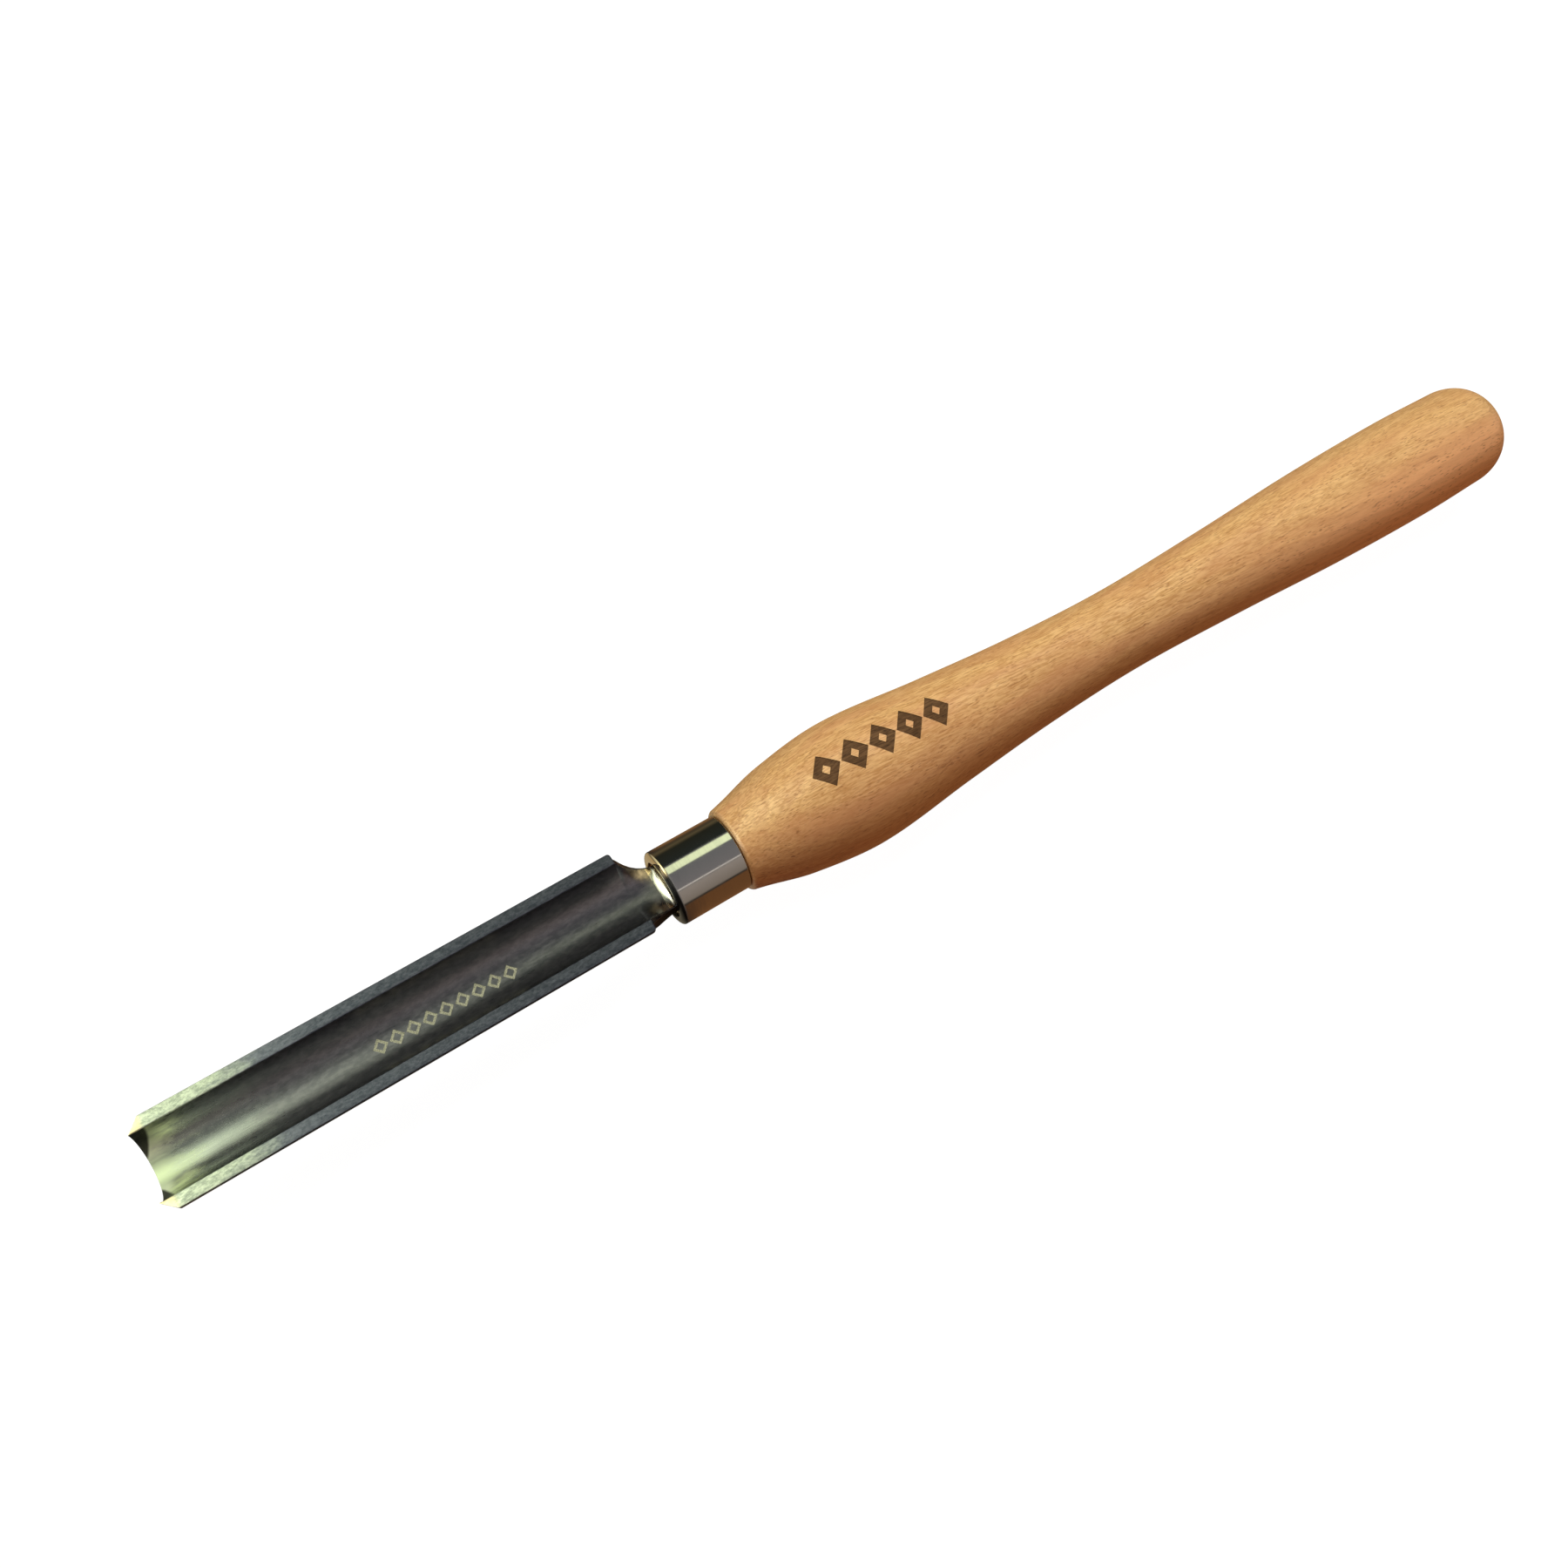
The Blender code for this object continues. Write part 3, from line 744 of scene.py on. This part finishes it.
def ground_steel():
    """Bare steel off the grinding wheel, its scratches running round the flute's axis, its base tinted warm
    as a painted warm reflection.
    """
    s = Surface("ground_steel", Metallic=1.0)
    scratches = s.noise(s.place((0.09, 3.0, 3.0)), detail=3.0, roughness=0.6)
    # the warm tint is a painted reflection of warm surroundings
    s.put(s.shader, Base_Color=s.blend(scratches, (0.52, 0.5, 0.44, 1), (0.74, 0.72, 0.64, 1)))
    s.put(s.shader, Roughness=s.ramp(scratches, 0.3, 0.7, 0.22, 0.38))
    s.bump(scratches, 0.01 * MM, 0.5)
    return s.material


def etched_steel():
    s = Surface("etched_steel", Metallic=0.2)
    grain = s.noise(s.place((0.3, 0.3, 0.3)), detail=3.0, roughness=0.7)
    s.put(s.shader, Base_Color=s.blend(s.ramp(grain, 0.3, 0.7), srgb(110, 110, 92), srgb(178, 178, 150)))
    s.put(s.shader, Roughness=s.ramp(grain, 0.3, 0.7, 0.5, 0.7))
    return s.material


def plated_steel():
    """Bright plating; on its turned-in front a golden reflection is painted on the +Y side and the blade's
    black reflection on the -Y side.
    """
    s = Surface("plated_steel")
    drawn = s.noise(s.place((0.5, 9, 9)), detail=3.0)
    film = s.noise(s.place((5, 5, 5)), detail=3.0)
    clean = s.blend(film, (0.46, 0.455, 0.44, 1), (0.52, 0.515, 0.5, 1))
    # painted reflections on the front: gold on the +Y side, the blade's black, dull reflection on the -Y
    # side
    painted_blade_reflection_share = s.ramp(s.math("ADD", s.across(), film), 3.0, -1.0)
    painted_face_reflection = s.blend(painted_blade_reflection_share, (0.8, 0.62, 0.36, 1), (0.01, 0.01, 0.01, 1))
    face = FERRULE_FACE_AT / MM
    front = s.ramp(s.station(), face + 1.6, face + 0.9)
    s.put(s.shader, Metallic=s.math("SUBTRACT", 1.0, s.math("MULTIPLY", front, painted_blade_reflection_share)))
    s.put(s.shader, Specular_IOR_Level=s.ramp(s.math("MULTIPLY", front, painted_blade_reflection_share), 0.0, 1.0, 0.5, 0.05))
    s.put(s.shader, Base_Color=s.blend(front, clean, painted_face_reflection))
    s.put(s.shader, Roughness=s.ramp(s.math("ADD", drawn, film), 0.7, 1.3, 0.07, 0.13))
    s.bump(drawn, 0.002 * MM, 0.2)
    return s.material


def cured_epoxy():
    s = Surface("cured_epoxy", Roughness=0.35, Transmission_Weight=0.1)
    bubbles = s.node("TexVoronoi", Vector=s.node("TexCoord").outputs["Object"], Scale=900.0)
    cloud = s.noise(s.place((3, 3, 3)), detail=3.0)
    s.put(s.shader, Base_Color=s.blend(cloud, srgb(206, 176, 118), srgb(178, 140, 82)))
    s.bump(s.ramp(bubbles.outputs["Distance"], 0.1, 0.3), 0.05 * MM, 0.6)
    return s.material


# ---------------------------------------------------------------- studio

KEY_AIM = Vector((0.11, 0, AXIS_Z))
KEY_DISTANCE = 0.8
KEY_LEAN = 22                      # degrees from straight above towards +Y
KEY_LENGTH = 1.0                   # along the tool
KEY_WIDTH = 0.5
KEY_POWER = 9.0                    # watts


def make_key_light():
    """Soft rectangle over the tool.

    Glossy surfaces show the studio's own softboxes, painted on the world, instead of this light.
    """
    light = bpy.data.lights.new("key_light", "AREA")
    light.shape = "RECTANGLE"
    light.size = KEY_LENGTH
    light.size_y = KEY_WIDTH
    light.energy = KEY_POWER
    light.color = (1.0, 0.985, 0.95)
    obj = bpy.data.objects.new("key_light", light)
    bpy.context.scene.collection.objects.link(obj)
    lean = math.radians(KEY_LEAN)
    obj.location = KEY_AIM + Vector((0, math.sin(lean), math.cos(lean))) * KEY_DISTANCE
    obj.rotation_euler = (-lean, 0, 0)
    obj.visible_glossy = False


# The studio as glossy surfaces see it: (degrees from straight above towards +Y, light from there)
ROOM = [
    (-92, (0.02, 0.02, 0.02)),
    (-86, (0.06, 0.05, 0.04)),
    (-82, (0.34, 0.28, 0.23)),
    (-46, (0.47, 0.40, 0.35)),
    (-41, (0.34, 0.31, 0.29)),
    (-39.6, (1.15, 1.05, 0.95)),
    (-38.4, (1.15, 1.05, 0.95)),
    (-37, (0.29, 0.27, 0.27)),
    (10, (0.25, 0.245, 0.245)),
    (36, (0.24, 0.235, 0.235)),
    (40, (0.032, 0.037, 0.032)),
    (84, (0.03, 0.03, 0.02)),
    (98, (0.16, 0.12, 0.06)),
    (120, (0.02, 0.02, 0.02)),
]
# The bench under the handle
BENCH = [
    (-92, (0.21, 0.078, 0.016)),
    (-88, (0.0, 0.0, 0.0)),
    (110, (0.0, 0.0, 0.0)),
    (130, (0.27, 0.13, 0.04)),
]
# The bench in front of the ferrule
BENCH_AHEAD = [
    (-178, (0.4, 0.33, 0.2)),
    (-150, (0.0, 0.0, 0.0)),
    (118, (0.0, 0.0, 0.0)),
    (138, (0.4, 0.33, 0.2)),
]
# Softbox past the cutting edge
TIP_BOX = [
    (-88, (0.0, 0.0, 0.0)),
    (-50, (0.10, 0.11, 0.08)),
    (-24, (0.16, 0.18, 0.13)),
    (-8, (0.45, 0.50, 0.36)),
    (10, (1.5, 1.7, 1.1)),
    (22, (2.2, 2.45, 1.6)),
    (36, (2.2, 2.45, 1.6)),
    (50, (1.3, 1.4, 1.0)),
    (80, (0.65, 0.7, 0.6)),
    (100, (0.5, 0.52, 0.45)),
    (125, (0.0, 0.0, 0.0)),
]
# Its stray light over the blade
STRAY = [
    (-12, (0.0, 0.0, 0.0)),
    (6, (0.48, 0.51, 0.52)),
    (30, (0.48, 0.51, 0.52)),
    (50, (0.08, 0.09, 0.1)),
    (100, (0.05, 0.06, 0.07)),
    (125, (0.0, 0.0, 0.0)),
]
# Softbox over the ferrule
GRIP_BOX = [
    (12.4, (0.0, 0.0, 0.0)),
    (14.4, (1.35, 1.5, 0.84)),
    (33.6, (1.35, 1.5, 0.84)),
    (35.6, (0.0, 0.0, 0.0)),
]
# Window light far ahead of the cutting edge, which shows on the front of the handle's bulge
WINDOW = [
    (-60, (0.0, 0.0, 0.0)),
    (-15, (4.8, 4.8, 3.9)),
    (35, (4.8, 4.8, 3.9)),
    (75, (0.0, 0.0, 0.0)),
]
# Each light's edges, as how far a direction points along the tool: (none of it, all of it)
LIGHTS = [
    (BENCH, [(0.188, 0.2)]),
    (BENCH_AHEAD, [(0.05, -0.05)]),
    (TIP_BOX, [(-0.115, -0.16)]),
    (STRAY, [(0.02, -0.09), (-0.2, -0.12)]),
    (WINDOW, [(-0.46, -0.58)]),
    (GRIP_BOX, [(0.175, 0.185), (0.30, 0.27)]),
]
# The room gets lighter between these directions along the tool
ROOM_FADES = (-0.10, 0.12)
# The dark ceiling's edges, along the tool and by lean in degrees
CEILING_ALONG = [(-0.15, -0.05), (0.19, 0.13)]
CEILING_LEAN = [(-34, -8), (52, 42)]
DARK = (0.05, 0.058, 0.07, 1)
# Light from all round on dull surfaces
FILL = [
    (-95, (0.42, 0.19, 0.08)),
    (-60, (0.20, 0.125, 0.09)),
    (-20, (0.12, 0.105, 0.095)),
    (60, (0.09, 0.09, 0.09)),
    (95, (0.22, 0.13, 0.08)),
]


def turn_share(degrees):
    """A lean from -180 to 180 degrees as 0 to 1."""
    return (degrees + 180) / 360


class WorldTree:
    """The world's nodes, built with short calls."""

    def __init__(self, tree):
        self.tree = tree
        self.along, self.lean = self.directions()

    def node(self, kind):
        return self.tree.nodes.new("ShaderNode" + kind)

    def put_one(self, socket, value):
        if isinstance(value, bpy.types.NodeSocket):
            self.tree.links.new(value, socket)
        else:
            socket.default_value = value

    def directions(self):
        """How far a direction points along the tool, and its lean towards +Y as 0 to 1."""
        split = self.node("SeparateXYZ")
        self.tree.links.new(self.node("TexCoord").outputs["Generated"], split.inputs[0])
        lean = self.node("Math")
        lean.operation = "ARCTAN2"
        self.tree.links.new(split.outputs[1], lean.inputs[0])
        self.tree.links.new(split.outputs[2], lean.inputs[1])
        return split.outputs[0], self.window(lean.outputs[0], -math.pi, math.pi, "LINEAR")

    def window(self, value, low, high, interpolation="SMOOTHSTEP", least=0.0):
        made = self.node("MapRange")
        made.interpolation_type = interpolation
        made.inputs["To Min"].default_value = least
        made.inputs["From Min"].default_value = low
        made.inputs["From Max"].default_value = high
        self.tree.links.new(value, made.inputs["Value"])
        return made.outputs[0]

    def by_lean(self, stops):
        ramp = self.node("ValToRGB")
        elements = ramp.color_ramp.elements
        while len(elements) < len(stops):
            elements.new(0.5)
        for element, (degrees, colour) in zip(elements, stops):
            element.position = turn_share(degrees)
            element.color = (*colour, 1)
        self.tree.links.new(self.lean, ramp.inputs[0])
        return ramp.outputs[0]

    def mix(self, blend_type, share, first, second):
        made = self.node("Mix")
        made.data_type = "RGBA"
        made.blend_type = blend_type
        for number, value in ((0, share), (6, first), (7, second)):
            self.put_one(made.inputs[number], value)
        return made.outputs[2]

    def inside(self, value, edges, share=1.0):
        """A share times the value's windows, one for each (none of it, all of it) edge."""
        for none, full in edges:
            made = self.node("Math")
            made.operation = "MULTIPLY"
            self.tree.links.new(self.window(value, none, full), made.inputs[0])
            self.put_one(made.inputs[1], share)
            share = made.outputs[0]
        return share


def make_world():
    """A quiet studio for reflections, an even fill for dull surfaces, plain white for the camera."""
    world = bpy.data.worlds.new("studio")
    bpy.context.scene.world = world
    world.use_nodes = True
    w = WorldTree(world.node_tree)
    glossy = w.mix("MIX", w.window(w.along, *ROOM_FADES, least=0.35), DARK, w.by_lean(ROOM))
    ceiling_lean = [(turn_share(none), turn_share(full)) for none, full in CEILING_LEAN]
    ceiling = w.inside(w.lean, ceiling_lean, w.inside(w.along, CEILING_ALONG))
    glossy = w.mix("MIX", ceiling, glossy, DARK)
    for stops, edges in LIGHTS:
        glossy = w.mix("ADD", w.inside(w.along, edges), glossy, w.by_lean(stops))
    rays = w.node("LightPath")
    seen = w.mix("MIX", rays.outputs["Is Glossy Ray"], w.by_lean(FILL), glossy)
    seen = w.mix("MIX", rays.outputs["Is Camera Ray"], seen, (1, 1, 1, 1))
    w.tree.links.new(seen, w.tree.nodes["Background"].inputs[0])


def make_floor():
    size = 3.0
    bm = bmesh.new()
    bm.faces.new([bm.verts.new((x * size, y * size, 0)) for x, y in ((-1, -1), (1, -1), (1, 1), (-1, 1))])
    s = Surface("pale_floor", Roughness=0.9, Emission_Color=(1, 1, 1, 1), Emission_Strength=0.98)
    speckle = s.noise(s.place((4, 4, 4)), detail=3.0)
    s.put(s.shader, Base_Color=s.blend(speckle, (0.09, 0.09, 0.09, 1), (0.1, 0.1, 0.1, 1)))
    floor = bpy.data.objects.new("floor", mesh_from(bm, "floor", [s.material]))
    bpy.context.scene.collection.objects.link(floor)
    floor.visible_diffuse = False
    floor.visible_glossy = False


CAMERA_AT = Vector((-0.16360, -0.10786, 0.36971))
CAMERA_AIM = Vector((-0.04757, 0.00974, AXIS_Z))
CAMERA_ROLL = 12.36                # degrees
CAMERA_LENS = 30.53                # mm, on a 36 mm sensor


def make_camera():
    data = bpy.data.cameras.new("photo_camera")
    data.sensor_width = 36.0
    data.lens = CAMERA_LENS
    data.clip_start = 0.01
    camera = bpy.data.objects.new("photo_camera", data)
    bpy.context.scene.collection.objects.link(camera)
    camera.location = CAMERA_AT
    camera.rotation_mode = "QUATERNION"
    facing = (CAMERA_AIM - CAMERA_AT).to_track_quat("-Z", "Y")
    camera.rotation_quaternion = facing @ Quaternion((0, 0, 1), math.radians(CAMERA_ROLL))
    bpy.context.scene.camera = camera


def main():
    make_blade()
    make_ferrule()
    make_handle()
    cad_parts["tang_bedding"].material_slots[0].material = cured_epoxy()
    make_key_light()
    make_world()
    make_floor()
    make_camera()
    bpy.context.scene.view_settings.view_transform = "Standard"


main()
